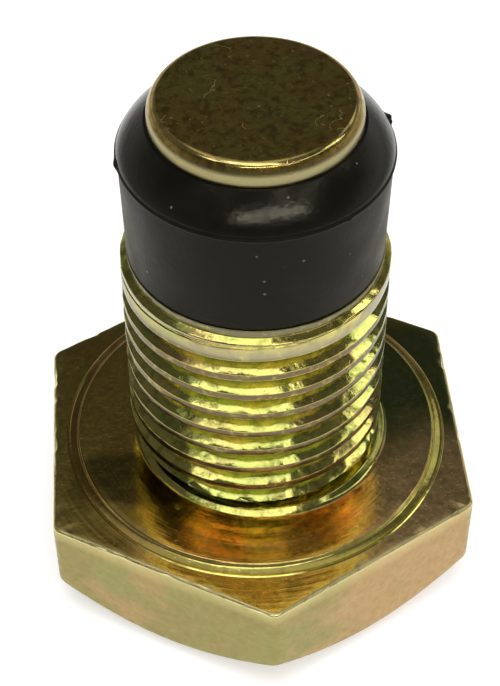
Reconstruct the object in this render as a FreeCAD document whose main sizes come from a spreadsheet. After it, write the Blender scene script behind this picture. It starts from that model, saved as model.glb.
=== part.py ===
"""Oil drain plug with a moulded rubber seal on its tip.

The plug stands on the outer face of its hexagon head. The origin is the centre of that face, and +Z runs
up the shank to the tip. Every size is in millimetres.
"""
import FreeCAD, Part
import Sketcher
import math
import os
import re

SIZES = {
    # Hexagon head: flats, height, and the chamfer cone round its outer face
    "head_across_flats": 20.64,
    "head_height": 6.35,
    "head_corner_radius": 0.6,
    "head_edge_bevel": 0.25,
    "head_face_diameter": 18.8,
    "head_chamfer_angle": 42,
    # Raised washer face on the bearing side, with a sloping rim
    "washer_face_diameter": 18.0,
    "washer_face_height": 0.28,
    "washer_rim_width": 0.5,
    # Relief neck between the head and the thread. It flares out to the washer face, which starts just
    # outside the thread, so that a washer lies flat on it
    "neck_diameter": 10.9,
    "neck_length": 1.5,
    "neck_flare_height": 0.6,
    "washer_bore_clearance": 0.05,
    # Right-hand thread, rolled, with flat crests and sharp roots
    "thread_diameter": 12.5,
    "thread_length": 10.8,
    "thread_pitch": 1.27,
    "thread_crest_flat": 0.37,
    "thread_flank_angle": 30,
    "runout_drop": 1.09,
    "runout_turns": 0.7,
    # Unthreaded land that the seal seats on
    "land_diameter": 11.9,
    "land_length": 0.6,
    "land_chamfer": 0.25,
    # Groove that holds the seal, and the cap that keeps it there
    "groove_diameter": 7.4,
    "groove_length": 7.1,
    "cap_rim_diameter": 9.4,
    "cap_face_diameter": 8.8,
    "cap_thickness": 1.09,
    "cap_edge_bevel": 0.15,
    # Moulded seal: straight wall, lip at the mould's parting line, shoulder that steepens outwards
    "seal_wall_diameter": 11.96,
    "seal_lip_diameter": 12.32,
    "seal_lip_height": 5.5,
    "seal_lip_thickness": 0.3,
    "seal_shoulder_diameter": 11.1,
    "seal_shoulder_drop": 0.64,
    "seal_crown_diameter": 9.2,
    "seal_foot_bevel": 0.2,
    # How far a cutter starts clear of the metal that it doesn't cut
    "cutter_clearance": 0.01,
    "cutter_overhang": 0.15,
}

# The head's sides, and a formula for how far out its sharp corners would reach
HEAD_SIDES = 6
HEAD_CORNER = f"(head_across_flats / 2 / cos(180 / {HEAD_SIDES}))"

# Heights above the head's outer face, as formulas on the sizes
BEARING_PLANE = "head_height"
WASHER_FACE = "(head_height + washer_face_height)"
THREAD_FOOT = "(head_height + neck_length)"
THREAD_TOP = "(head_height + neck_length + thread_length)"
SEAL_SEAT = "(head_height + neck_length + thread_length + land_length)"
CAP_UNDERSIDE = "(head_height + neck_length + thread_length + land_length + groove_length)"
TIP = "(head_height + neck_length + thread_length + land_length + groove_length + cap_thickness)"
SEAL_LIP = "(head_height + neck_length + thread_length + land_length + seal_lip_height)"

# Formulas of the thread's groove
GROOVE_MOUTH = "(thread_pitch - thread_crest_flat)"
GROOVE_DEPTH = "((thread_pitch - thread_crest_flat) / 2 / tan(thread_flank_angle))"
RUNOUT_START = "(head_height + neck_length + thread_length - runout_drop)"

POSITION_TOLERANCE = 1e-4


def on_sheet(formula):
    """Writes a formula's size names the way that an expression reads them from the sheet."""
    return re.sub(r"[a-z]+_[a-z_]+", lambda alias: "Sizes." + alias.group(), formula)


def make_sheet(doc):
    """Puts every driving dimension in a spreadsheet cell with its own alias."""
    sheet = doc.addObject("Spreadsheet::Sheet", "Sizes")
    for row, (alias, size) in enumerate(SIZES.items(), start=1):
        sheet.set(f"A{row}", alias)
        sheet.set(f"B{row}", str(size))
        sheet.setAlias(f"B{row}", alias)
    doc.recompute()
    return sheet


class Builder:
    """Makes bodies whose sketches and features are bound to the sheet."""

    def __init__(self, doc, sheet):
        self.doc = doc
        self.sheet = sheet

    def value(self, formula):
        """Works out a formula from the sheet."""
        return float(self.sheet.evalExpression(on_sheet(formula)))

    def body(self, label):
        body = self.doc.addObject("PartDesign::Body", label)
        body.Label = label
        return body

    def origin_part(self, body, role):
        """Finds an axis or a plane of the body's own origin."""
        for feature in body.Origin.OriginFeatures:
            if feature.Role == role:
                return feature
        raise ValueError(f"{body.Label} has no {role}")

    def sketch(self, body, name, plane):
        sketch = body.newObject("Sketcher::SketchObject", name)
        sketch.AttachmentSupport = [(self.origin_part(body, plane), "")]
        sketch.MapMode = "FlatFace"
        return sketch

    def bind(self, sketch, constraint, formula):
        index = sketch.addConstraint(constraint)
        sketch.setExpression(f"Constraints[{index}]", on_sheet(formula))

    def place_point(self, sketch, edge, formulas):
        """Holds an edge's start point at a radius and a height, each a formula or "0"."""
        horizontal, vertical = formulas
        for axis, kind, formula in ((-2, "DistanceX", horizontal), (-1, "DistanceY", vertical)):
            if formula == "0":
                sketch.addConstraint(Sketcher.Constraint("PointOnObject", edge, 1, axis))
            else:
                dimension = Sketcher.Constraint(kind, -1, 1, edge, 1, self.value(formula))
                self.bind(sketch, dimension, formula)

    def outline(self, body, name, corners):
        """Draws a closed half section in the XZ plane, as (radius, height) formulas."""
        sketch = self.sketch(body, name, "XZ_Plane")
        points = [FreeCAD.Vector(self.value(r), self.value(z), 0) for r, z in corners]
        count = len(corners)
        for edge, start in enumerate(points):
            sketch.addGeometry(Part.LineSegment(start, points[(edge + 1) % count]))
        for edge in range(count):
            sketch.addConstraint(Sketcher.Constraint("Coincident", edge, 2, (edge + 1) % count, 1))
        for edge, formulas in enumerate(corners):
            self.place_point(sketch, edge, formulas)
        return sketch

    def turn(self, body, name, sketch, kind="PartDesign::Revolution"):
        """Turns a half section about the body's Z axis."""
        feature = body.newObject(kind, name)
        feature.Profile = sketch
        feature.ReferenceAxis = (self.origin_part(body, "Z_Axis"), [""])
        feature.Angle = 360
        self.doc.recompute()
        return feature

    def dress_edges(self, body, name, kind, size, wanted):
        """Adds a Fillet or a Chamfer to the edges of the body for which wanted(edge) is true."""
        base = body.Tip
        names = [f"Edge{i}" for i, edge in enumerate(base.Shape.Edges, start=1) if wanted(edge)]
        if not names:
            raise ValueError(f"{name} finds no edge")
        feature = body.newObject(f"PartDesign::{kind}", name)
        feature.Base = (base, names)
        feature.setExpression("Radius" if kind == "Fillet" else "Size", on_sheet(size))
        self.doc.recompute()
        return feature

    def circle_at(self, radius, height):
        """Tells whether an edge is a circle about the Z axis, of this radius and height."""
        r, z = self.value(radius), self.value(height)

        def test(edge):
            curve = edge.Curve
            if not isinstance(curve, Part.Circle):
                return False
            offset = curve.Center - FreeCAD.Vector(0, 0, z)
            return offset.Length < POSITION_TOLERANCE and abs(curve.Radius - r) < POSITION_TOLERANCE

        return test


def add_hexagon(make, body):
    """Head blank: a hexagonal prism with rounded corners and a softened bearing-side edge."""
    sketch = make.sketch(body, "HexagonSketch", "XY_Plane")
    apothem = make.value("head_across_flats / 2")
    corner = make.value(HEAD_CORNER)
    points = []
    for k in range(HEAD_SIDES):
        angle = (2 * k + 1) * math.pi / HEAD_SIDES
        points.append(FreeCAD.Vector(corner * math.cos(angle), corner * math.sin(angle), 0))
    for k in range(HEAD_SIDES):
        sketch.addGeometry(Part.LineSegment(points[k], points[(k + 1) % HEAD_SIDES]))
    circle = sketch.addGeometry(Part.Circle(FreeCAD.Vector(), FreeCAD.Vector(0, 0, 1), corner), True)
    for k in range(HEAD_SIDES):
        sketch.addConstraint(Sketcher.Constraint("Coincident", k, 2, (k + 1) % HEAD_SIDES, 1))
        sketch.addConstraint(Sketcher.Constraint("PointOnObject", k, 1, circle))
    last = HEAD_SIDES - 1
    for k in range(last):
        sketch.addConstraint(Sketcher.Constraint("Equal", k, k + 1))
    sketch.addConstraint(Sketcher.Constraint("Coincident", circle, 3, -1, 1))
    sketch.addConstraint(Sketcher.Constraint("Vertical", last))
    flats = Sketcher.Constraint("Distance", circle, 3, last, apothem)
    make.bind(sketch, flats, "head_across_flats / 2")
    blank = body.newObject("PartDesign::Pad", "HexagonBlank")
    blank.Profile = sketch
    blank.setExpression("Length", on_sheet(BEARING_PLANE))
    make.doc.recompute()

    make.dress_edges(body, "RoundedCorners", "Fillet", "head_corner_radius", is_upright)
    height = make.value(BEARING_PLANE)
    make.dress_edges(body, "BearingEdge", "Chamfer", "head_edge_bevel", lambda edge: lies_at(edge, height))


def is_upright(edge):
    """Tells whether an edge runs straight up."""
    first, last = edge.Vertexes[0].Point, edge.Vertexes[-1].Point
    along = last - first
    return abs(along.z) > POSITION_TOLERANCE and math.hypot(along.x, along.y) < POSITION_TOLERANCE


def lies_at(edge, height):
    """Tells whether a whole edge lies at one height."""
    box = edge.BoundBox
    return abs(box.ZMin - height) < POSITION_TOLERANCE and abs(box.ZMax - height) < POSITION_TOLERANCE


def chamfer_head(make, body):
    """Cone that cuts the head's six corners back round its outer face."""
    reach = f"({HEAD_CORNER} + cutter_overhang)"
    rise = f"(({reach} - head_face_diameter / 2) * tan(head_chamfer_angle))"
    cutter = make.outline(body, "HeadChamferSection", [
        ("head_face_diameter / 2", "0"),
        (reach, "0"),
        (reach, rise),
    ])
    before = body.Shape.Volume
    make.turn(body, "HeadChamfer", cutter, "PartDesign::Groove")
    if body.Shape.Volume > before - POSITION_TOLERANCE:
        raise ValueError("The head's chamfer cuts nothing")


def add_shank(make, body):
    """Everything above the bearing plane, turned as one section with the thread still uncut."""
    section = make.outline(body, "ShankSection", [
        ("0", BEARING_PLANE),
        ("washer_face_diameter / 2 + washer_rim_width", BEARING_PLANE),
        ("washer_face_diameter / 2", WASHER_FACE),
        ("thread_diameter / 2 + washer_bore_clearance", WASHER_FACE),
        ("neck_diameter / 2", f"{WASHER_FACE} + neck_flare_height"),
        ("neck_diameter / 2", THREAD_FOOT),
        ("thread_diameter / 2", THREAD_FOOT),
        ("thread_diameter / 2", THREAD_TOP),
        ("land_diameter / 2", f"{THREAD_TOP} + land_chamfer"),
        ("land_diameter / 2", SEAL_SEAT),
        ("groove_diameter / 2", SEAL_SEAT),
        ("groove_diameter / 2", CAP_UNDERSIDE),
        ("cap_rim_diameter / 2", CAP_UNDERSIDE),
        ("cap_face_diameter / 2", TIP),
        ("0", TIP),
    ])
    make.turn(body, "Shank", section)
    cap_edge = make.circle_at("cap_face_diameter / 2", TIP)
    make.dress_edges(body, "CapEdge", "Chamfer", "cap_edge_bevel", cap_edge)


def groove_section(make, body, name):
    """Thread groove's section where the run-out starts: two flanks that meet in a sharp root."""
    outside = "thread_diameter / 2 + cutter_overhang"
    half_mouth = f"({GROOVE_MOUTH} / 2 + cutter_overhang * tan(thread_flank_angle))"
    return make.outline(body, name, [
        (f"thread_diameter / 2 - {GROOVE_DEPTH}", RUNOUT_START),
        (outside, f"{RUNOUT_START} - {half_mouth}"),
        (outside, f"{RUNOUT_START} + {half_mouth}"),
    ])


def cut_helix(make, body, name, section, mode):
    helix = body.newObject("PartDesign::SubtractiveHelix", name)
    helix.Profile = section
    helix.ReferenceAxis = (make.origin_part(body, "Z_Axis"), [""])
    helix.Mode = mode
    helix.LeftHanded = False
    helix.setExpression("Pitch", on_sheet("thread_pitch"))
    return helix


def cut_thread(make, body):
    """Full-depth groove down to the relief neck, then a run-out that rises out of the metal."""
    main = cut_helix(make, body, "ThreadGroove", groove_section(make, body, "GrooveSection"),
                     "pitch-height-angle")
    main.Reversed = True
    main.setExpression("Height", on_sheet(
        f"thread_length - runout_drop + {GROOVE_MOUTH} / 2 + cutter_clearance"))
    make.doc.recompute()

    runout = cut_helix(make, body, "ThreadRunout", groove_section(make, body, "RunoutSection"),
                       "pitch-turns-angle")
    runout.Reversed = False
    runout.setExpression("Turns", on_sheet("runout_turns"))
    runout.setExpression("Angle", on_sheet(
        f"atan(({GROOVE_DEPTH} + cutter_clearance) / (runout_turns * thread_pitch))"))
    make.doc.recompute()


def make_plug_body(make):
    body = make.body("plug_body")
    add_hexagon(make, body)
    chamfer_head(make, body)
    add_shank(make, body)
    cut_thread(make, body)
    return body


def make_rubber_seal(make):
    """Ring that fills the groove and bulges out to its lip, seated between the land and the cap."""
    body = make.body("rubber_seal")
    section = make.outline(body, "SealSection", [
        ("groove_diameter / 2", SEAL_SEAT),
        ("seal_wall_diameter / 2", SEAL_SEAT),
        ("seal_wall_diameter / 2", f"{SEAL_LIP} - seal_lip_thickness"),
        ("seal_lip_diameter / 2", SEAL_LIP),
        ("seal_shoulder_diameter / 2", f"{CAP_UNDERSIDE} - seal_shoulder_drop"),
        ("seal_crown_diameter / 2", CAP_UNDERSIDE),
        ("groove_diameter / 2", CAP_UNDERSIDE),
    ])
    make.turn(body, "Ring", section)
    foot = make.circle_at("seal_wall_diameter / 2", SEAL_SEAT)
    make.dress_edges(body, "FootEdge", "Chamfer", "seal_foot_bevel", foot)
    return body


def check_document(doc, bodies):
    """Stops before anything is written if an object failed or a shape is bad."""
    for item in doc.Objects:
        if "Invalid" in item.State or "Error" in item.State:
            raise RuntimeError(f"{item.Label} failed: {item.State}")
    for body in bodies:
        shape = body.Shape
        if shape.isNull() or not shape.isValid() or len(shape.Solids) != 1:
            raise RuntimeError(f"{body.Label} isn't one valid solid")


def main():
    doc = FreeCAD.newDocument("DrainPlug")
    make = Builder(doc, make_sheet(doc))
    bodies = [make_plug_body(make), make_rubber_seal(make)]
    doc.recompute()
    check_document(doc, bodies)
    os.makedirs("parts", exist_ok=True)
    for body in bodies:
        body.Shape.exportStep(f"parts/{body.Label}.step")
        box = body.Shape.BoundBox
        print(f"{body.Label}: {body.Shape.Volume:.1f} mm3, {box.XLength:.2f} x {box.YLength:.2f} x "
              f"{box.ZLength:.2f} mm, {len(body.Shape.Faces)} faces")


main()
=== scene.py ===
"""Looks of an oil drain plug: yellow-chromated steel with a moulded rubber seal on its tip.

Finer meshes of the same form stand for both CAD nodes. Each is a grid: columns go round the axis, and
rows run along a profile that is worked out in millimetres.
"""
import math

import bmesh
import bpy
import numpy as np
from mathutils import Matrix, Vector, noise


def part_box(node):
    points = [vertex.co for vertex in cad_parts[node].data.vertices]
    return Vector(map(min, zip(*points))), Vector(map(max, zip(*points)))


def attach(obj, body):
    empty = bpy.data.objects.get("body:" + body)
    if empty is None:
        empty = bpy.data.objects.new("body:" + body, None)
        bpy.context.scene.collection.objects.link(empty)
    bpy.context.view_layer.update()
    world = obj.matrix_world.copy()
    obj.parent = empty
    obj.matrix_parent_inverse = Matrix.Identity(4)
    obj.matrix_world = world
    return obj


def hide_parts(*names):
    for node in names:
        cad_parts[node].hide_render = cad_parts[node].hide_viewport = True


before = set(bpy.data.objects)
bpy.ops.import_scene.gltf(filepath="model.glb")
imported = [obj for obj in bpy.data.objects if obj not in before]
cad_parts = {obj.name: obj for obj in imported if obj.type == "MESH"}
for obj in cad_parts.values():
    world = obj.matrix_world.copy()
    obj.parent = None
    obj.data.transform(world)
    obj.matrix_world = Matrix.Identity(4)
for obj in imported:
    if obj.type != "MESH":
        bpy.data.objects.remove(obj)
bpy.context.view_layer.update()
plug_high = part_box("plug_body")[1]
seal_low, seal_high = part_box("rubber_seal")

MM = 0.001
TURN = 2 * math.pi

# Head, from the frame and in millimetres
APOTHEM = plug_high.x / MM
HEAD_SIDES = 6
HALF_SIDE_ANGLE = math.pi / HEAD_SIDES
HEAD_HEIGHT = 6.35
HEAD_CORNER_RADIUS = 0.6
HEAD_FACE_RADIUS = 9.4
HEAD_CHAMFER_ANGLE = math.radians(42)
# Worn slope along the head's upper edge
EDGE_DROP = 0.10
EDGE_WIDTH = 0.14

# Washer face with its steep rim, and a sloping ring and a fine ridge outside it
WASHER_FACE_RADIUS = 9.0
WASHER_FACE = HEAD_HEIGHT + 0.28
RIM_FOOT_RADIUS = 9.1
RIM_FOOT = HEAD_HEIGHT + 0.1
RIDGE_RADIUS = 9.52
RIDGE_HEIGHT = 0.05
RIDGE_HALF_WIDTH = 0.09

# Relief neck. Its flare leans: it reaches further out on one side, where its top is raised too, and it
# is narrower at both sides
NECK_RADIUS = 5.45
FLARE_RADIUS = 6.27
FLARE_WIDTH = 0.43
FLARE_TOP = WASHER_FACE + 0.24
FLARE_STEP = 0.04
FLARE_LEAN = 0.3
FLARE_RISE_BY_LEAN = 0.3
FLARE_LOSS_BY_LEAN = 0.6

# Right-hand thread: its groove rises out of the metal over the run-out, above RUNOUT_START, and leaves
# a faint seam behind
THREAD_RADIUS = 6.25
THREAD_PITCH = 1.27
THREAD_FOOT = 7.85
THREAD_TOP = 18.65
GROOVE_HALF_MOUTH = 0.45
FLANK_SLOPE = math.tan(math.radians(30))
GROOVE_DEPTH = GROOVE_HALF_MOUTH / FLANK_SLOPE
ROOT_FLAT = 0.1
LEAST_ROOT_SHARE = 0.6
LEAST_HALF_MOUTH = 0.03
RUNOUT_START = 17.56
RUNOUT_TURNS = 0.7
SEAM_TURNS = 1.05
SEAM_DEPTH = 0.11
LEAD_IN_START = THREAD_FOOT - 0.3
LEAD_IN_SLOPE = 2.4
EDGE_BLEND = 0.03

# Land, hidden groove and cap
LAND_RADIUS = 5.95
LAND_FOOT = THREAD_TOP + 0.18
GROOVE_RADIUS = 3.7
SEAL_SEAT = seal_low.z / MM
CAP_UNDERSIDE = seal_high.z / MM
CAP_RIM_RADIUS = 4.7
TIP = plug_high.z / MM
CAP_RIM_TOP = TIP - 0.5
CAP_BEVEL_TOP = (4.47, TIP - 0.11)
CAP_FACE_RADIUS = 4.28

# Seal
LIP_RADIUS = seal_high.x / MM
LIP_HEIGHT = 24.72
WALL_TOP_RADIUS = 6.06
WALL_FOOT_RADIUS = 5.92
SHOULDER_FOOT_RADIUS = 6.09
SHOULDER_FOOT = LIP_HEIGHT + 0.1
SHOULDER_TOP_RADIUS = 4.84
SHOULDER_BULGE = 1.35
# Thin tags of rubber on the lip: angle and half width in degrees, and how far they stand out
LIP_TAGS = [(15.0, 2.2, 0.24), (11.5, 1.5, 0.12), (187.0, 3.0, 0.09), (305.0, 1.2, 0.07)]

# Columns on half a flat, in half a corner and round the seal, and rows where a profile curves
FLAT_COLUMNS = 21
CORNER_COLUMNS = 5
SEAL_COLUMNS = 361
ROWS_PER_CORNER = 4
LAND_ROWS = 9
SHOULDER_ROWS = 22
# Rows from a groove's middle outwards, as shares of its half mouth
GROOVE_SHARES = np.array([0.0, 0.15, 0.45, 0.75, 0.92, 1.0, 1.09])
# The rows that follow the helix start here, just below the lead-in
THREAD_ROWS_FOOT = THREAD_FOOT - 0.35
WELD_DISTANCE = 2e-6
SHARP_ANGLE = math.radians(38)

# Wear: how near a crest's full radius and the head's edge the plating is rubbed
CREST_FADE = 0.0075
EDGE_FADE = 0.15
# Painted shade in groove bottoms and the neck: how far below a crest it starts, over what depth it deepens,
# and how dark it gets. The neck's painted shade is darkest on its left
DARK_BELOW_CREST = 0.3
DARK_FADE = 0.2
NECK_FADE = 0.12
GROOVE_PAINTED_SHADE = 0.65
NECK_PAINTED_SHADE = 0.55
NECK_PAINTED_SHADE_BY_SIDE = 0.4
# Nicks in the head's upper edge, and waves on the shank
NICK_REACH = 0.35
NICK_DEPTH = 0.22
SHANK_WAVE = 0.025

# Camera fitted to the photograph: place in millimetres, heading, and angles in radians
CAMERA_PLACE = (-4.48, -57.80, 72.45)
CAMERA_HEADING = (0.0727, 0.9973, 0.0)
CAMERA_PITCH = 0.803
CAMERA_ROLL = -0.003

# Studio, in metres
LAMP_TARGET = (0, 0, 0.014)
LAMP_DISTANCE = 0.5
FLOOR_HALF = 1.5
WHITE_FLOOR_REACH = (0.055, 0.16)


def corner_start():
    """Angle from a flat's middle to where its rounded corner starts."""
    return math.atan((APOTHEM - HEAD_CORNER_RADIUS) * math.tan(HALF_SIDE_ANGLE) / APOTHEM)


def head_outline(angles):
    """Distance from the axis to the hexagon with rounded corners."""
    folded = np.abs((angles + HALF_SIDE_ANGLE) % (2 * HALF_SIDE_ANGLE) - HALF_SIDE_ANGLE)
    flat = APOTHEM / np.cos(folded)
    centre = (APOTHEM - HEAD_CORNER_RADIUS) / math.cos(HALF_SIDE_ANGLE)
    off = HALF_SIDE_ANGLE - folded
    inside = np.maximum(HEAD_CORNER_RADIUS ** 2 - (centre * np.sin(off)) ** 2, 0)
    arc = centre * np.cos(off) + np.sqrt(inside)
    return np.where(folded > corner_start(), arc, flat)


def flare(angles):
    """Radii of the foot and the top of the neck's flare, and how much its top is raised."""
    lean = FLARE_LEAN * np.cos(angles)
    foot = FLARE_RADIUS + lean
    top = foot - FLARE_WIDTH + FLARE_LOSS_BY_LEAN * np.abs(lean)
    return foot, top, FLARE_RISE_BY_LEAN * lean


def column_angles():
    """Columns round the axis, from 0 to a full turn, close together at the hexagon's corners."""
    start = corner_start()
    on_flat = np.linspace(0, start, FLAT_COLUMNS)[:-1]
    in_corner = np.linspace(start, HALF_SIDE_ANGLE, CORNER_COLUMNS)
    half = np.concatenate([on_flat, in_corner])
    sector = np.concatenate([half[:-1], 2 * HALF_SIDE_ANGLE - half[::-1][:-1]])
    turns = [sector + 2 * HALF_SIDE_ANGLE * k for k in range(HEAD_SIDES)]
    return np.concatenate(turns + [[TURN]])


def groove_bottom(travelled):
    """Depth of the groove's sharp bottom, a number of turns past the start of the run-out."""
    fading = GROOVE_DEPTH * np.clip(1 - travelled / RUNOUT_TURNS, 0, 1)
    seam = SEAM_DEPTH * np.clip((SEAM_TURNS - travelled) / (SEAM_TURNS - RUNOUT_TURNS), 0, 1)
    return np.maximum(fading, seam)


def groove_depth(angles, heights):
    """How deep the groove is cut below the crest. It is negative where the crest stands."""
    turn = angles / TURN
    lift = (heights - RUNOUT_START) / THREAD_PITCH - turn
    root = np.round(lift)
    away = np.abs(lift - root) * THREAD_PITCH
    bottom = groove_bottom(root + turn)
    flat_root = np.maximum(bottom - ROOT_FLAT, LEAST_ROOT_SHARE * bottom)
    return np.minimum(bottom - away / FLANK_SLOPE, flat_root)


def soft_min(a, b, blend):
    """Smaller of two values, rounded where they cross."""
    mix = np.clip(0.5 + 0.5 * (b - a) / blend, 0, 1)
    return b * (1 - mix) + a * mix - blend * mix * (1 - mix)


def shank_radius(angles, heights):
    """Radius of the threaded shank, from the relief neck to the land."""
    cut = THREAD_RADIUS - groove_depth(angles, heights)
    radius = soft_min(np.full_like(cut, THREAD_RADIUS), cut, EDGE_BLEND)
    lead_in = NECK_RADIUS + np.maximum(heights - LEAD_IN_START, 0) * LEAD_IN_SLOPE
    fall = (heights - THREAD_TOP) * (THREAD_RADIUS - LAND_RADIUS) / (LAND_FOOT - THREAD_TOP)
    lead_out = THREAD_RADIUS - fall
    radius = soft_min(radius, lead_in, EDGE_BLEND)
    radius = soft_min(radius, lead_out, EDGE_BLEND)
    radius = np.where(heights > LAND_FOOT, np.minimum(radius, LAND_RADIUS), radius)
    radius = np.where(heights > THREAD_TOP, np.maximum(radius, LAND_RADIUS), radius)
    return np.maximum(radius, NECK_RADIUS)


class Grid:
    """Rows of points round the axis. Each row has a radius and a height for every column."""

    def __init__(self, angles):
        self.angles = angles
        self.rows = []
        self.zones = []

    def for_columns(self, size):
        """Gives every column its own number, also where one number holds for all of them."""
        return np.broadcast_to(size, self.angles.shape) * 1.0

    def add(self, radius, height, zone):
        """Adds a row. Its zone is the material of the faces from it to the next row."""
        self.rows.append((self.for_columns(radius), self.for_columns(height)))
        self.zones.append(zone)

    def run(self, corners):
        """Adds a profile. A corner is (radius, height, soft length, rows to the next corner, zone)."""
        spots = [np.stack([self.for_columns(corner[0]), self.for_columns(corner[1])]) for corner in corners]
        last = len(corners) - 1
        for k, (_, _, soft, count, zone) in enumerate(corners):
            here = spots[k]
            back = self.pull(here, spots[k - 1], soft) if k > 0 else here
            ahead = self.pull(here, spots[k + 1], soft) if k < last else here
            steps = ROWS_PER_CORNER if soft > 0 else 0
            zone_before = corners[k - 1][4] if k > 0 else zone
            for i in range(steps + 1):
                t = i / steps if steps else 0
                point = back * (1 - t) ** 2 + here * 2 * t * (1 - t) + ahead * t ** 2
                self.add(point[0], point[1], zone if t >= 0.5 or not steps else zone_before)
            if k == last:
                continue
            stop = self.pull(spots[k + 1], here, corners[k + 1][2])
            for i in range(1, count):
                point = ahead + (stop - ahead) * i / count
                self.add(point[0], point[1], zone)

    @staticmethod
    def pull(corner, towards, length):
        """Point at a length from a corner along the line to another."""
        along = towards - corner
        return corner + along * length / np.maximum(np.hypot(along[0], along[1]), 1e-9)

    def add_thread(self, low, high, zone):
        """Rows that follow the helix, clipped to the heights from low to high."""
        across = np.concatenate([-GROOVE_SHARES[:0:-1], GROOVE_SHARES])
        first = math.floor((low - RUNOUT_START) / THREAD_PITCH) - 2
        last = math.ceil((high - RUNOUT_START) / THREAD_PITCH) + 1
        for root in range(first, last):
            travelled = root + self.angles / TURN
            mouth = np.maximum(groove_bottom(travelled) * FLANK_SLOPE, LEAST_HALF_MOUTH)
            middle = RUNOUT_START + THREAD_PITCH * travelled
            offsets = [share * mouth for share in across] + [THREAD_PITCH / 2]
            for offset in offsets:
                heights = np.clip(middle + offset, low, high)
                self.add(shank_radius(self.angles, heights), heights, zone)

    def points(self):
        """Places of all points in metres, row by row."""
        radius = np.array([row[0] for row in self.rows])
        height = np.array([row[1] for row in self.rows])
        return np.stack([radius * np.cos(self.angles), radius * np.sin(self.angles), height], axis=-1) * MM

    def build(self, name, loop=False):
        """Makes the mesh, welds its seam and its poles, and deletes what the welding folds flat."""
        points = self.points()
        rows, columns = points.shape[:2]
        index = np.arange(rows * columns).reshape(rows, columns)
        upper = np.roll(index, -1, axis=0)
        if not loop:
            index, upper = index[:-1], upper[:-1]
        faces = np.stack([index[:, :-1], index[:, 1:], upper[:, 1:], upper[:, :-1]], axis=-1).reshape(-1, 4)
        zones = np.repeat(np.array(self.zones)[:len(index)], columns - 1)
        mesh = bpy.data.meshes.new(name)
        mesh.from_pydata(points.reshape(-1, 3).tolist(), [], faces.tolist())
        mesh.polygons.foreach_set("material_index", zones.astype(np.int32))
        work = bmesh.new()
        work.from_mesh(mesh)
        bmesh.ops.remove_doubles(work, verts=work.verts, dist=WELD_DISTANCE)
        bmesh.ops.dissolve_degenerate(work, edges=work.edges, dist=WELD_DISTANCE)
        bmesh.ops.recalc_face_normals(work, faces=work.faces)
        work.to_mesh(mesh)
        work.free()
        mesh.shade_smooth()
        mesh.set_sharp_from_angle(angle=SHARP_ANGLE)
        piece = bpy.data.objects.new(name, mesh)
        bpy.context.scene.collection.objects.link(piece)
        return piece


# Zones are places in a piece's list of materials
FACE, SIDE, TURNED, RING, THREAD, CAP, CAP_EDGE = range(7)
WALL, SHOULDER = range(2)


def make_plug():
    """Head, washer face, neck, thread, land, hidden groove and cap, as one closed mesh."""
    grid = Grid(column_angles())
    outline = head_outline(grid.angles)
    chamfer_top = (outline - HEAD_FACE_RADIUS) * math.tan(HEAD_CHAMFER_ANGLE)
    flare_foot, flare_top, raised = flare(grid.angles)
    grid.run([
        (0, 0, 0, 4, FACE),
        (HEAD_FACE_RADIUS, 0, 0.15, 2, SIDE),
        (outline, chamfer_top, 0.2, 6, SIDE),
        (outline, HEAD_HEIGHT - EDGE_DROP, 0.08, 1, SIDE),
        (outline - EDGE_WIDTH, HEAD_HEIGHT, 0.06, 4, TURNED),
        (RIDGE_RADIUS + RIDGE_HALF_WIDTH, HEAD_HEIGHT, 0.03, 1, RING),
        (RIDGE_RADIUS, HEAD_HEIGHT + RIDGE_HEIGHT, 0.03, 1, RING),
        (RIDGE_RADIUS - RIDGE_HALF_WIDTH, HEAD_HEIGHT + 0.01, 0.03, 1, RING),
        (RIM_FOOT_RADIUS, RIM_FOOT, 0.05, 1, RING),
        (WASHER_FACE_RADIUS, WASHER_FACE, 0.06, 8, TURNED),
        (flare_foot, WASHER_FACE, 0.17, 1, THREAD),
        (flare_top, FLARE_TOP + raised, 0.06, 1, THREAD),
        (NECK_RADIUS, FLARE_TOP + raised + FLARE_STEP, 0.03, 1, THREAD),
        (NECK_RADIUS, THREAD_ROWS_FOOT - 0.07, 0, 1, THREAD),
        (NECK_RADIUS, THREAD_ROWS_FOOT, 0, 1, THREAD),
    ])
    grid.add_thread(THREAD_ROWS_FOOT, THREAD_TOP - 0.02, THREAD)
    for height in np.linspace(THREAD_TOP - 0.01, LAND_FOOT, LAND_ROWS):
        grid.add(shank_radius(grid.angles, np.full_like(grid.angles, height)), height, THREAD)
    grid.run([
        (LAND_RADIUS, LAND_FOOT + 0.03, 0, 1, THREAD),
        (LAND_RADIUS, SEAL_SEAT, 0.05, 1, CAP),
        (GROOVE_RADIUS, SEAL_SEAT, 0, 1, CAP),
        (GROOVE_RADIUS, CAP_UNDERSIDE, 0, 1, CAP),
        (CAP_RIM_RADIUS, CAP_UNDERSIDE, 0.05, 1, CAP),
        (CAP_RIM_RADIUS, CAP_RIM_TOP, 0.18, 1, CAP),
        (*CAP_BEVEL_TOP, 0.1, 1, CAP_EDGE),
        (CAP_FACE_RADIUS, TIP, 0.09, 10, CAP),
        (0, TIP, 0, 1, CAP),
    ])
    return grid.build("plug_body_finish")


def lip_outline(angles):
    """Radius of the seal's lip, with the tags of rubber that its mould left."""
    radius = np.full_like(angles, LIP_RADIUS)
    for middle, half_width, reach in LIP_TAGS:
        off = (np.degrees(angles) - middle) / half_width
        radius = radius + reach * np.exp(-off ** 2)
    return radius


def shoulder_profile():
    """Radii and heights up the seal's shoulder, which steepens outwards."""
    shares = np.linspace(0, 1, SHOULDER_ROWS)
    inset = SHOULDER_FOOT_RADIUS - SHOULDER_TOP_RADIUS
    radii = SHOULDER_FOOT_RADIUS - inset * shares ** SHOULDER_BULGE
    heights = SHOULDER_FOOT + (CAP_UNDERSIDE - SHOULDER_FOOT) * shares
    return zip(radii, heights)


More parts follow.
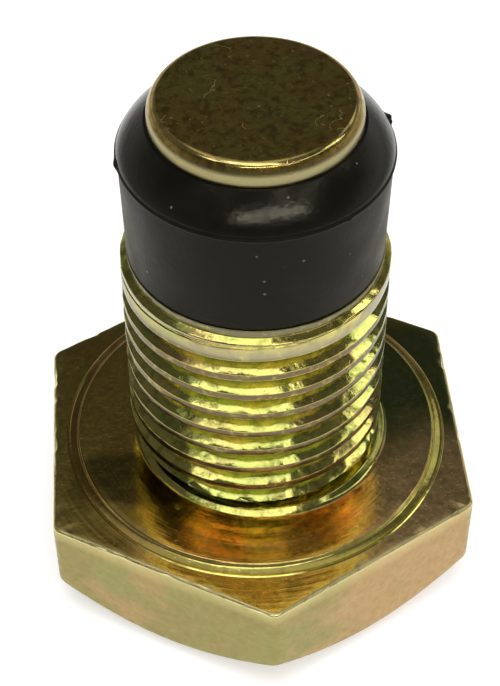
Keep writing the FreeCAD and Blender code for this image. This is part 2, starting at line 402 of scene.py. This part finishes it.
def make_seal():
    """Moulded ring: foot, wall that widens upwards, lip at the parting line and rounded shoulder."""
    grid = Grid(np.linspace(0, TURN, SEAL_COLUMNS))
    lip = lip_outline(grid.angles)
    grid.run([
        (GROOVE_RADIUS, SEAL_SEAT, 0, 3, WALL),
        (WALL_FOOT_RADIUS, SEAL_SEAT, 0.2, 16, WALL),
        (WALL_TOP_RADIUS, LIP_HEIGHT - 0.14, 0.05, 1, WALL),
        (lip, LIP_HEIGHT - 0.06, 0.05, 1, WALL),
        (lip, LIP_HEIGHT + 0.03, 0.04, 1, WALL),
        *[(radius, height, 0, 1, SHOULDER) for radius, height in shoulder_profile()],
        (CAP_RIM_RADIUS - 0.03, CAP_UNDERSIDE, 0, 1, SHOULDER),
        (GROOVE_RADIUS, CAP_UNDERSIDE, 0, 2, WALL),
    ])
    return grid.build("rubber_seal_finish", loop=True)


def read_places(piece):
    """Places of a piece's vertices in millimetres, with their radii and their angles round the axis."""
    places = np.empty(len(piece.data.vertices) * 3)
    piece.data.vertices.foreach_get("co", places)
    places = places.reshape(-1, 3) / MM
    return places, np.hypot(places[:, 0], places[:, 1]), np.arctan2(places[:, 1], places[:, 0])


def from_head_edge(places, radius, turn):
    """Distance of each place from the head's upper edge."""
    return np.hypot(places[:, 2] - HEAD_HEIGHT, radius - head_outline(turn))


def mark(piece, name, numbers):
    """Gives each vertex a number that the materials read by name."""
    attribute = piece.data.attributes.new(name, "FLOAT", "POINT")
    attribute.data.foreach_set("value", np.asarray(numbers, dtype=np.float32))


def mark_wear(piece):
    """Marks crests, land, cap rim and head edge as worn, and groove bottoms and the neck for painted shade.
    """
    places, radius, turn = read_places(piece)
    height = places[:, 2]
    on_shank = (height > THREAD_FOOT - 0.1) & (height < SEAL_SEAT + 0.01)
    crest = np.clip(1 - (THREAD_RADIUS - radius) / CREST_FADE, 0, 1)
    land = height > LAND_FOOT + 0.01
    on_rim = (height > CAP_UNDERSIDE - 0.01) & (radius > CAP_RIM_RADIUS - 0.06)
    on_edge = np.clip(1.5 - from_head_edge(places, radius, turn) / EDGE_FADE, 0, 1)
    mark(piece, "worn", np.maximum(np.maximum(crest, land) * on_shank, np.maximum(on_rim, on_edge)))

    # Painted shade: groove bottoms are darkened, and the neck most on its left
    below_crest = THREAD_RADIUS - DARK_BELOW_CREST - radius
    groove = GROOVE_PAINTED_SHADE * np.clip(below_crest / DARK_FADE, 0, 1) * on_shank * (height < THREAD_TOP)
    above_face = np.clip((height - WASHER_FACE) / 0.1, 0, 1)
    inside_flare = np.clip((flare(turn)[1] + 0.02 - radius) / NECK_FADE, 0, 1)
    neck_shade_strength = NECK_PAINTED_SHADE - NECK_PAINTED_SHADE_BY_SIDE * np.cos(turn)
    neck = above_face * inside_flare * (height < THREAD_FOOT) * neck_shade_strength
    mark(piece, "painted_shade", np.maximum(groove, neck))


def two_scale_noise(place, scale, fine_scale, fine_share):
    """Coarse noise with a share of finer noise on top."""
    return noise.noise(Vector(place * scale)) + fine_share * noise.noise(Vector(place * fine_scale))


def batter(piece):
    """Pushes the shank into faint waves, and knocks nicks into the head's upper edge."""
    places, radius, turn = read_places(piece)
    height = places[:, 2]
    vertices = piece.data.vertices
    for index in np.nonzero((height > THREAD_FOOT - 0.1) & (height < SEAL_SEAT - 0.02))[0]:
        wave = two_scale_noise(places[index], 1.1, 3.1, 0.4)
        outward = Vector((places[index][0] / radius[index], places[index][1] / radius[index], 0.6))
        vertices[int(index)].co += outward * SHANK_WAVE * wave * MM
    off_edge = from_head_edge(places, radius, turn)
    for index in np.nonzero(off_edge < NICK_REACH)[0]:
        hit = two_scale_noise(places[index], 1.4, 4.0, 0.5) - 0.12
        depth = NICK_DEPTH * max(hit, 0) * (1 - off_edge[index] / NICK_REACH)
        inward = Vector((-places[index][0] / radius[index], -places[index][1] / radius[index], -1))
        vertices[int(index)].co += inward * depth * MM


class Nodes:
    """Short ways to add nodes to a material or to the world. A socket or a number can feed an input."""

    def __init__(self, owner, output):
        owner.use_nodes = True
        self.owner = owner
        self.tree = owner.node_tree
        self.tree.nodes.clear()
        self.output = self.add(output)

    def add(self, kind, **settings):
        node = self.tree.nodes.new(kind)
        for key, setting in settings.items():
            setattr(node, key, setting)
        return node

    def link(self, source, target):
        self.tree.links.new(source, target)

    def feed(self, socket, source):
        """Sets a socket to a number, or links another socket to it."""
        if isinstance(source, bpy.types.NodeSocket):
            self.link(source, socket)
        else:
            socket.default_value = source

    def math(self, operation, first, second=0.0, clamp=False):
        node = self.add("ShaderNodeMath", operation=operation, use_clamp=clamp)
        self.feed(node.inputs[0], first)
        self.feed(node.inputs[1], second)
        return node.outputs[0]

    def vector_math(self, operation, first, second=None):
        """A vector operation's node, of which the caller takes the Vector or the Value output."""
        node = self.add("ShaderNodeVectorMath", operation=operation)
        self.feed(node.inputs[0], first)
        if second is not None:
            node.inputs[1].default_value = second
        return node

    def scaled(self, vector, factors):
        return self.vector_math("MULTIPLY", vector, factors).outputs["Vector"]

    def split(self, vector):
        node = self.add("ShaderNodeSeparateXYZ")
        self.link(vector, node.inputs[0])
        return node.outputs

    def noise(self, vector, scale, detail=3.0, roughness=0.5, distortion=0.0):
        node = self.add("ShaderNodeTexNoise")
        self.feed(node.inputs["Vector"], vector)
        node.inputs["Scale"].default_value = scale
        node.inputs["Detail"].default_value = detail
        node.inputs["Roughness"].default_value = roughness
        node.inputs["Distortion"].default_value = distortion
        return node.outputs["Fac"]

    def spread(self, source, low, high, to_low=0.0, to_high=1.0):
        """Steps smoothly from to_low to to_high while the source goes from low to high."""
        node = self.add("ShaderNodeMapRange", interpolation_type="SMOOTHSTEP")
        for name, number in (("Value", source), ("From Min", low), ("From Max", high),
                             ("To Min", to_low), ("To Max", to_high)):
            self.feed(node.inputs[name], number)
        return node.outputs["Result"]

    def mix(self, factor, first, second):
        """Mixes two colours, which are the node's inputs 6 and 7. Output 2 is the mixed colour."""
        node = self.add("ShaderNodeMix", data_type="RGBA")
        self.feed(node.inputs["Factor"], factor)
        self.feed(node.inputs[6], first)
        self.feed(node.inputs[7], second)
        return node.outputs[2]

    def bump(self, height, strength, distance, normal=None):
        """Bump on top of another. The distance is in millimetres."""
        node = self.add("ShaderNodeBump")
        node.inputs["Strength"].default_value = strength
        node.inputs["Distance"].default_value = distance * MM
        self.feed(node.inputs["Height"], height)
        if normal is not None:
            self.link(normal, node.inputs["Normal"])
        return node.outputs["Normal"]

    def place_in_mm(self):
        """Place on the object, in millimetres."""
        return self.scaled(self.add("ShaderNodeTexCoord").outputs["Object"], (1 / MM,) * 3)

    def finish(self, shader, tint, roughness, normal):
        """Links what all the shaders have, and gives the finished material."""
        self.feed(shader.inputs["Base Color"], tint)
        self.feed(shader.inputs["Roughness"], roughness)
        self.link(normal, shader.inputs["Normal"])
        self.link(shader.outputs[0], self.output.inputs["Surface"])
        return self.owner


def colour(red, green, blue):
    return (red, green, blue, 1.0)


# Bright plating
GOLD = colour(0.88, 0.75, 0.20)
GREEN_GOLD = colour(0.60, 0.62, 0.16)
ROSE_GOLD = colour(0.78, 0.54, 0.20)
BRONZE = colour(0.92, 0.62, 0.28)
# Painted reflection of the shank on the washer face
SHANK_REFLECTION_ORANGE = colour(1.0, 0.56, 0.24)

# Satin plating on the head's sides
SATIN_GOLD = colour(0.325, 0.265, 0.09)
SATIN_GREEN = colour(0.32, 0.285, 0.095)
SATIN_ROSE = colour(0.475, 0.31, 0.13)

# Dark plating
OLIVE_BROWN = colour(0.44, 0.32, 0.08)
BROWN = colour(0.40, 0.24, 0.06)
DARK_OLIVE = colour(0.20, 0.22, 0.05)
# Painted shade for groove bottoms and the neck
PAINTED_SHADE_OLIVE = colour(0.08, 0.11, 0.04)
# Painted shade on the washer face's right
FACE_SHADE_GREEN = colour(0.15, 0.18, 0.06)
DARK_BROWN = colour(0.16, 0.11, 0.03)
CAP_GREEN = colour(0.48, 0.40, 0.10)
CAP_BROWN = colour(0.52, 0.35, 0.09)

# Worn plating
PALE_ZINC = colour(0.36, 0.32, 0.19)
RIM_ZINC = colour(0.37, 0.32, 0.155)
LAND_ZINC = colour(0.20, 0.18, 0.10)
CREST_BROWN = colour(0.18, 0.13, 0.07)
WORN_EDGE = colour(1.0, 0.88, 0.42)

# Rubber
WALL_BLACK = colour(0.007, 0.0067, 0.005)
WALL_DUST = colour(0.012, 0.0115, 0.009)
SHOULDER_BLACK = colour(0.005, 0.0048, 0.0035)
SHOULDER_DUST = colour(0.008, 0.0077, 0.006)
RUBBER_SPECK = colour(0.20, 0.18, 0.12)
RUBBER_GLOSS = colour(1.0, 0.95, 0.7)
RUBBER_SHEEN = colour(0.9, 0.8, 0.35)

# Studio
ROOM_LIGHT = colour(1.0, 1.0, 0.97)
FAR_FLOOR = colour(0.6, 0.6, 0.6)
NEAR_FLOOR = colour(0.85, 0.85, 0.85)


def chromate_tint(make, in_mm, drift, tints):
    """Drifts between the first two tints, with a blush of the third."""
    tint = make.mix(make.spread(drift, 0.42, 0.6), tints[0], tints[1])
    blush = make.noise(make.scaled(in_mm, (0.7, 0.7, 1.6)), 0.35, detail=3.0, distortion=0.4)
    return make.mix(make.spread(blush, 0.5, 0.68, 0.0, 0.7), tint, tints[2])


def add_patch(make, tint, in_mm, drift, patch):
    """Ragged patch of another tint. A patch is its middle in millimetres, its reach and its tint."""
    middle, reach, patch_tint = patch
    away = make.vector_math("DISTANCE", in_mm, middle).outputs["Value"]
    stray = make.math("MULTIPLY", make.math("SUBTRACT", drift, 0.5), 5.0)
    ragged = make.math("ADD", away, stray)
    return make.mix(make.spread(ragged, reach * 0.5, reach, 1.0, 0.0), tint, patch_tint)


def add_wear(make, tint, gloss, height, grain, worn_tints, worn_roughness):
    """Darkens groove bottoms and the neck with painted shade, and rubs worn places. The worn tints are for
    low, high and highest places.
    """
    worn = make.add("ShaderNodeAttribute", attribute_name="worn").outputs["Fac"]
    painted_shade = make.add("ShaderNodeAttribute", attribute_name="painted_shade").outputs["Fac"]
    low, high, highest = worn_tints
    rubbed = make.mix(make.spread(height, THREAD_TOP - 1.1, THREAD_TOP - 0.7), low, high)
    rubbed = make.mix(make.spread(height, THREAD_TOP, LAND_FOOT + 0.05), rubbed, highest)
    # Painted shade in groove bottoms and the neck
    tint = make.mix(painted_shade, tint, PAINTED_SHADE_OLIVE)
    patchy = make.math("MULTIPLY", worn, make.spread(grain, 0.2, 0.5, 0.55, 1.0))
    tint = make.mix(patchy, tint, rubbed)
    return tint, make.math("MAXIMUM", gloss, make.math("MULTIPLY", worn, worn_roughness))


def add_scratches(make, tint, gloss, in_mm, height):
    """Hairline scratches and golden flecks on the cap's face."""
    contour = make.math("ABSOLUTE", make.math("SUBTRACT", make.noise(in_mm, 0.45, detail=3.0), 0.5))
    broken = make.spread(make.noise(in_mm, 0.9, detail=2.0), 0.52, 0.6)
    scratch = make.math("MULTIPLY", make.spread(contour, 0.002, 0.007, 1.0, 0.0), broken)
    fleck = make.spread(make.noise(in_mm, 4.0, detail=3.0), 0.62, 0.76)
    on_face = make.spread(height, TIP - 0.04, TIP - 0.01)
    scraped = make.math("MULTIPLY", make.math("MAXIMUM", scratch, fleck), on_face)
    tint = make.mix(scraped, tint, ROSE_GOLD)
    return tint, make.math("MAXIMUM", gloss, make.math("MULTIPLY", scraped, 0.45))


def plated_bump(make, in_mm, height, unevenness, pitting, rings):
    """Uneven metal with pits, and with turning marks round the axis where rings isn't 0."""
    normal = make.bump(make.noise(in_mm, 1.1, detail=3.0), unevenness, 0.04)
    pits = make.spread(make.noise(in_mm, 5.0, detail=2.0), 0.62, 0.72)
    normal = make.bump(make.math("SUBTRACT", 1.0, pits), pitting, 0.02, normal)
    if rings:
        section_place = make.add("ShaderNodeCombineXYZ")
        off_axis = make.vector_math("LENGTH", make.scaled(in_mm, (1, 1, 0))).outputs["Value"]
        make.link(off_axis, section_place.inputs[0])
        make.link(height, section_place.inputs[1])
        marks = make.noise(section_place.outputs[0], 5.0, detail=3.0)
        normal = make.bump(marks, rings, 0.02, normal)
    return normal


def plating(name, roughness, tints, rings=0.0, mottle=0.5, mottle_scale=1.3, mottle_tint=DARK_OLIVE,
            unevenness=0.3, pitting=0.15, patches=(), worn_tints=None, worn_roughness=0.3, scratches=False):
    """Yellow chromate over zinc: mottled, pitted and, where asked, patched, worn and darkened by painted
    shade, scratched or turned.
    """
    make = Nodes(bpy.data.materials.new(name), "ShaderNodeOutputMaterial")
    in_mm = make.place_in_mm()
    height = make.split(in_mm)["Z"]
    drift = make.noise(in_mm, 0.28, detail=2.0, distortion=0.5)
    tint = chromate_tint(make, in_mm, drift, tints)
    for patch in patches:
        tint = add_patch(make, tint, in_mm, drift, patch)
    blotches = make.noise(in_mm, mottle_scale, detail=5.0, roughness=0.65)
    tint = make.mix(make.spread(blotches, 0.46, 0.64, 0.0, mottle), tint, mottle_tint)
    grain = make.noise(in_mm, 3.0, detail=4.0)
    gloss = make.spread(grain, 0.3, 0.7, roughness * 0.75, roughness * 1.3)
    if worn_tints:
        tint, gloss = add_wear(make, tint, gloss, height, grain, worn_tints, worn_roughness)
    if scratches:
        tint, gloss = add_scratches(make, tint, gloss, in_mm, height)
    shader = make.add("ShaderNodeBsdfPrincipled")
    shader.inputs["Metallic"].default_value = 1.0
    normal = plated_bump(make, in_mm, height, unevenness, pitting, rings)
    return make.finish(shader, tint, gloss, normal)


def rubber(name, dark, dusty, specular, roughness, sheen):
    """Black rubber with a dusty bloom and pale specks."""
    make = Nodes(bpy.data.materials.new(name), "ShaderNodeOutputMaterial")
    in_mm = make.place_in_mm()
    bloom = make.noise(in_mm, 0.5, detail=4.0)
    tint = make.mix(make.spread(bloom, 0.4, 0.7), dark, dusty)
    specks = make.add("ShaderNodeTexVoronoi")
    make.link(in_mm, specks.inputs["Vector"])
    specks.inputs["Scale"].default_value = 1.1
    chosen = make.spread(make.noise(in_mm, 0.6, detail=0.0), 0.52, 0.56)
    speck = make.math("MULTIPLY", make.spread(specks.outputs["Distance"], 0.05, 0.09, 1.0, 0.0), chosen)
    tint = make.mix(speck, tint, RUBBER_SPECK)
    gloss = make.spread(bloom, 0.3, 0.7, roughness * 0.85, roughness * 1.2)
    shader = make.add("ShaderNodeBsdfPrincipled")
    shader.inputs["Specular IOR Level"].default_value = specular
    shader.inputs["Specular Tint"].default_value = RUBBER_GLOSS
    shader.inputs["Sheen Weight"].default_value = sheen
    shader.inputs["Sheen Roughness"].default_value = 0.35
    shader.inputs["Sheen Tint"].default_value = RUBBER_SHEEN
    normal = make.bump(make.noise(in_mm, 4.0, detail=5.0), 0.35, 0.03)
    return make.finish(shader, tint, gloss, normal)


def plug_materials():
    """The plug's materials, in the order of its zones."""
    # Bronze and orange in front of the shank are a painted reflection of the shank; dark brown and dark
    # green at the left and right of the washer face are painted shade
    face_painted_light_patches = [
        ((0.5, -11.0, HEAD_HEIGHT), 9.0, BRONZE),
        ((8.2, 2.0, HEAD_HEIGHT), 6.0, FACE_SHADE_GREEN),
        ((9.0, -6.0, HEAD_HEIGHT), 6.3, BRONZE),
        ((-6.6, -3.2, HEAD_HEIGHT), 2.8, DARK_BROWN),
        ((-3.2, -7.2, HEAD_HEIGHT), 2.4, SHANK_REFLECTION_ORANGE),
        ((3.8, -6.2, HEAD_HEIGHT), 3.1, SHANK_REFLECTION_ORANGE),
    ]
    return [
        plating("plating_face", 0.3, (SATIN_GOLD, SATIN_GOLD, SATIN_ROSE), rings=0.3),
        plating("plating_side", 0.36, (SATIN_GOLD, SATIN_GREEN, SATIN_ROSE), mottle=0.15, unevenness=0.1,
                patches=[((8.0, -9.0, 3.0), 7.0, SATIN_ROSE)], worn_tints=(WORN_EDGE,) * 3),
        plating("plating_turned", 0.15, (OLIVE_BROWN, OLIVE_BROWN, BROWN), rings=0.4, mottle=0.25,
                patches=face_painted_light_patches, worn_tints=(WORN_EDGE,) * 3),
        # The gold patch lightens the ring towards the front and right: a painted highlight
        plating("plating_ring", 0.13, (BROWN, OLIVE_BROWN, ROSE_GOLD), rings=0.3, mottle=0.3,
                patches=[((5.0, -7.5, HEAD_HEIGHT), 13.0, GOLD)]),
        plating("plating_thread", 0.12, (GREEN_GOLD, GOLD, ROSE_GOLD), unevenness=0.5, pitting=0.1,
                worn_tints=(CREST_BROWN, PALE_ZINC, LAND_ZINC), worn_roughness=0.22),
        plating("plating_cap", 0.2, (CAP_GREEN, CAP_BROWN, CAP_BROWN), mottle=0.6, mottle_scale=2.6,
                mottle_tint=DARK_BROWN, pitting=0.2, worn_tints=(RIM_ZINC,) * 3, scratches=True),
        plating("plating_cap_edge", 0.14, (BRONZE, GOLD, BRONZE), mottle=0.5),
    ]


def seal_materials():
    """The seal's materials, in the order of its zones: a dull wall and a polished shoulder."""
    return [
        rubber("rubber_wall", WALL_BLACK, WALL_DUST, specular=0.12, roughness=0.45, sheen=0.12),
        rubber("rubber_shoulder", SHOULDER_BLACK, SHOULDER_DUST, specular=0.42, roughness=0.19, sheen=0.03),
    ]


def dress(piece, node, materials):
    """Gives a piece its materials, and lets it stand for a CAD node."""
    for material in materials:
        piece.data.materials.append(material)
    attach(piece, "root")
    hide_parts(node)


def make_camera():
    """Camera as the photograph saw the plug, looking down at about 46 degrees."""
    data = bpy.data.cameras.new("camera")
    data.lens = 90.0
    data.sensor_width = 36.0
    data.clip_start = 0.001
    camera = bpy.data.objects.new("camera", data)
    bpy.context.scene.collection.objects.link(camera)
    heading = Vector(CAMERA_HEADING).normalized()
    forward = heading * math.cos(CAMERA_PITCH) - Vector((0, 0, math.sin(CAMERA_PITCH)))
    level_right = forward.cross(Vector((0, 0, 1))).normalized()
    level_up = level_right.cross(forward)
    right = level_right * math.cos(CAMERA_ROLL) + level_up * math.sin(CAMERA_ROLL)
    up = level_up * math.cos(CAMERA_ROLL) - level_right * math.sin(CAMERA_ROLL)
    rotation = Matrix((right, up, -forward)).transposed().to_4x4()
    camera.matrix_world = Matrix.Translation(Vector(CAMERA_PLACE) * MM) @ rotation
    bpy.context.scene.camera = camera


def make_world():
    """Pale walls up to a little above the horizon, a lit ceiling behind the lamps, and dark between."""
    make = Nodes(bpy.data.worlds.new("room"), "ShaderNodeOutputWorld")
    bpy.context.scene.world = make.owner
    direction = make.add("ShaderNodeTexCoord").outputs["Generated"]
    along = make.split(direction)
    walls = make.spread(along["Z"], 0.05, 0.45, 0.42, 0.0)
    # The walls are dimmer on the left and on the camera's side
    walls = make.math("MULTIPLY", walls, make.spread(along["X"], -0.9, -0.1, 0.55, 1.0))
    walls = make.math("MULTIPLY", walls, make.spread(along["Y"], -0.7, 0.2, 0.3, 1.0))
    overhead = make.vector_math("DOT_PRODUCT", direction, (-0.05, 0.25, 0.967)).outputs["Value"]
    ceiling = make.spread(overhead, 0.90, 0.95, 0.0, 0.32)
    light = make.math("ADD", make.math("ADD", walls, ceiling), 0.08)
    back = make.add("ShaderNodeBackground")
    back.inputs["Color"].default_value = ROOM_LIGHT
    make.feed(back.inputs["Strength"], light)
    make.link(back.outputs[0], make.output.inputs["Surface"])


def floor_material():
    """White near the plug for the camera and in reflections, by a glow that its shadow shows through."""
    make = Nodes(bpy.data.materials.new("floor"), "ShaderNodeOutputMaterial")
    diffuse = make.add("ShaderNodeBsdfDiffuse")
    place = make.add("ShaderNodeTexCoord").outputs["Object"]
    away = make.vector_math("LENGTH", place).outputs["Value"]
    near = make.spread(away, *WHITE_FLOOR_REACH, 1.0, 0.0)
    make.link(make.mix(near, FAR_FLOOR, NEAR_FLOOR), diffuse.inputs["Color"])
    path = make.add("ShaderNodeLightPath")
    seen = make.math("ADD", path.outputs["Is Camera Ray"], path.outputs["Is Glossy Ray"])
    seen = make.math("ADD", seen, path.outputs["Is Transmission Ray"], clamp=True)
    glow = make.add("ShaderNodeEmission")
    make.feed(glow.inputs["Strength"], make.math("MULTIPLY", make.math("MULTIPLY", seen, near), 0.5))
    both = make.add("ShaderNodeAddShader")
    make.link(diffuse.outputs[0], both.inputs[0])
    make.link(glow.outputs[0], both.inputs[1])
    make.link(both.outputs[0], make.output.inputs["Surface"])
    return make.owner


def make_floor():
    """Square floor that the plug stands on."""
    mesh = bpy.data.meshes.new("floor")
    corners = [(x * FLOOR_HALF, y * FLOOR_HALF, 0) for x, y in ((-1, -1), (1, -1), (1, 1), (-1, 1))]
    mesh.from_pydata(corners, [], [(0, 1, 2, 3)])
    mesh.materials.append(floor_material())
    floor = bpy.data.objects.new("floor", mesh)
    bpy.context.scene.collection.objects.link(floor)


def add_lamp(name, towards, size, radiance, distance=LAMP_DISTANCE, in_reflections=True):
    """Soft box that faces the plug's middle from a direction. At a radiance of 1 it shows as white."""
    data = bpy.data.lights.new(name, "AREA")
    data.shape = "RECTANGLE"
    data.size, data.size_y = size
    data.energy = radiance * math.pi * size[0] * size[1]
    lamp = bpy.data.objects.new(name, data)
    bpy.context.scene.collection.objects.link(lamp)
    direction = Vector(towards).normalized()
    lamp.location = Vector(LAMP_TARGET) + direction * distance
    lamp.rotation_euler = direction.to_track_quat("Z", "Y").to_euler()
    lamp.visible_glossy = in_reflections


def make_lamps():
    """One broad lamp that only lights, and small ones that the plating and the rubber mirror."""
    add_lamp("fill", (0.0, -0.2, 1.0), (0.5, 0.5), 2.4, distance=0.6, in_reflections=False)
    add_lamp("overhead", (-0.11, -0.24, 0.95), (0.25, 0.20), 1.55)
    add_lamp("right", (0.75, 0.10, 0.66), (0.11, 0.16), 1.8)
    add_lamp("right_rear", (0.56, 0.53, 0.64), (0.18, 0.14), 0.4)
    add_lamp("left", (-0.42, -0.16, 0.89), (0.15, 0.18), 0.35)
    add_lamp("left_edge", (-0.49, -0.25, 0.83), (0.09, 0.09), 1.6)
    add_lamp("front", (0.12, -0.75, 0.68), (0.45, 0.03), 9.0)
    add_lamp("right_front", (0.62, -0.30, 0.72), (0.30, 0.04), 1.3)
    add_lamp("strip", (0.21, -0.44, 0.87), (0.05, 0.16), 2.2)


plug = make_plug()
mark_wear(plug)
batter(plug)
dress(plug, "plug_body", plug_materials())
dress(make_seal(), "rubber_seal", seal_materials())

make_camera()
make_world()
make_floor()
make_lamps()
bpy.context.scene.view_settings.view_transform = "Standard"
